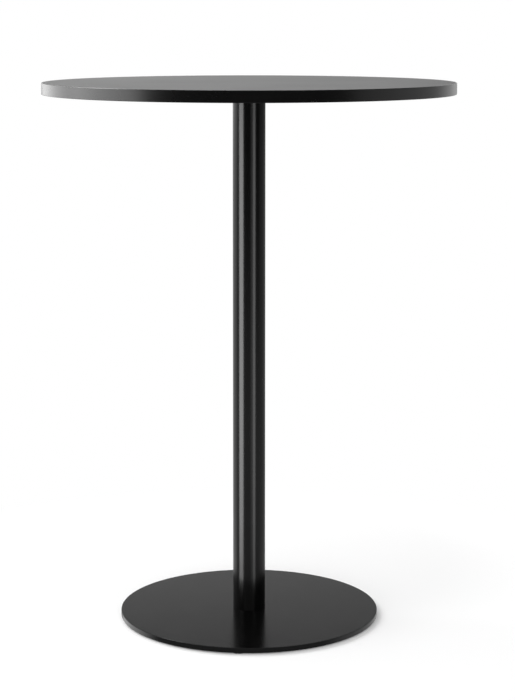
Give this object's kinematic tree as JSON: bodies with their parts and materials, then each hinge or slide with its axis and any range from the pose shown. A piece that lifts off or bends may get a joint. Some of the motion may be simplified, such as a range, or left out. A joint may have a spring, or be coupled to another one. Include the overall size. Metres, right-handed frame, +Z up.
{
  "type": "pub table",
  "caption": "Round standing-height pub table with a thin black top on a slim steel column and a flat steel disc base with levelling glides.",
  "frame": {"origin": "on the floor, on the axis of the column", "axes": "+Z up along the column, +X to the right and -Y to the front, within five degrees of the picture's viewer"},
  "size_m": [0.7999, 0.8, 1.055],
  "materials": {
    "board": "raw fibreboard",
    "black_laminate": "matt",
    "black_edge_band": "satin",
    "black_powder_coat": "satin",
    "zinc_plated_steel": "zinc plated",
    "bare_steel": "turned",
    "brass": "turned",
    "black_nylon": "moulded"
  },
  "bodies": {
    "table": {"tabletop_core": "board", "tabletop_face_sheet": "black_laminate", "tabletop_backing_sheet": "black_laminate", "tabletop_edge_band": "black_edge_band", "threaded_inserts": "brass", "mounting_plate": "black_powder_coat", "plate_screws": "zinc_plated_steel", "plate_washers": "zinc_plated_steel", "column_tube": "black_powder_coat", "upper_column_plug": "bare_steel", "lower_column_plug": "bare_steel", "upper_column_screws": "zinc_plated_steel", "lower_column_screws": "zinc_plated_steel", "base_disc": "black_powder_coat"},
    "front_foot_stem": {"front_foot_stem": "zinc_plated_steel"},
    "front_foot_pad": {"front_foot_pad": "black_nylon"},
    "right_foot_stem": {"right_foot_stem": "zinc_plated_steel"},
    "right_foot_pad": {"right_foot_pad": "black_nylon"},
    "rear_foot_stem": {"rear_foot_stem": "zinc_plated_steel"},
    "rear_foot_pad": {"rear_foot_pad": "black_nylon"},
    "left_foot_stem": {"left_foot_stem": "zinc_plated_steel"},
    "left_foot_pad": {"left_foot_pad": "black_nylon"}
  },
  "joints": [
    {"name": "front_foot_travel", "type": "slide", "parent": "table", "child": "front_foot_stem", "axis": [0, 0, -1], "range_m": [0, 0.003]},
    {"name": "front_foot_turn", "type": "hinge", "parent": "front_foot_stem", "child": "front_foot_pad", "pos_m": [0, -0.239, 0.001], "axis": [0, 0, -1], "range_deg": [0, 864]},
    {"name": "right_foot_travel", "type": "slide", "parent": "table", "child": "right_foot_stem", "axis": [0, 0, -1], "range_m": [0, 0.003]},
    {"name": "right_foot_turn", "type": "hinge", "parent": "right_foot_stem", "child": "right_foot_pad", "pos_m": [0.239, 0, 0.001], "axis": [0, 0, -1], "range_deg": [0, 864]},
    {"name": "rear_foot_travel", "type": "slide", "parent": "table", "child": "rear_foot_stem", "axis": [0, 0, -1], "range_m": [0, 0.003]},
    {"name": "rear_foot_turn", "type": "hinge", "parent": "rear_foot_stem", "child": "rear_foot_pad", "pos_m": [0, 0.239, 0.001], "axis": [0, 0, -1], "range_deg": [0, 864]},
    {"name": "left_foot_travel", "type": "slide", "parent": "table", "child": "left_foot_stem", "axis": [0, 0, -1], "range_m": [0, 0.003]},
    {"name": "left_foot_turn", "type": "hinge", "parent": "left_foot_stem", "child": "left_foot_pad", "pos_m": [-0.239, 0, 0.001], "axis": [0, 0, -1], "range_deg": [0, 864]}
  ],
  "couplings": [
    {"joint": "front_foot_travel", "follows": "front_foot_turn", "m_per_rad": 0.00019894},
    {"joint": "right_foot_travel", "follows": "right_foot_turn", "m_per_rad": 0.00019894},
    {"joint": "rear_foot_travel", "follows": "rear_foot_turn", "m_per_rad": 0.00019894},
    {"joint": "left_foot_travel", "follows": "left_foot_turn", "m_per_rad": 0.00019894}
  ]
}
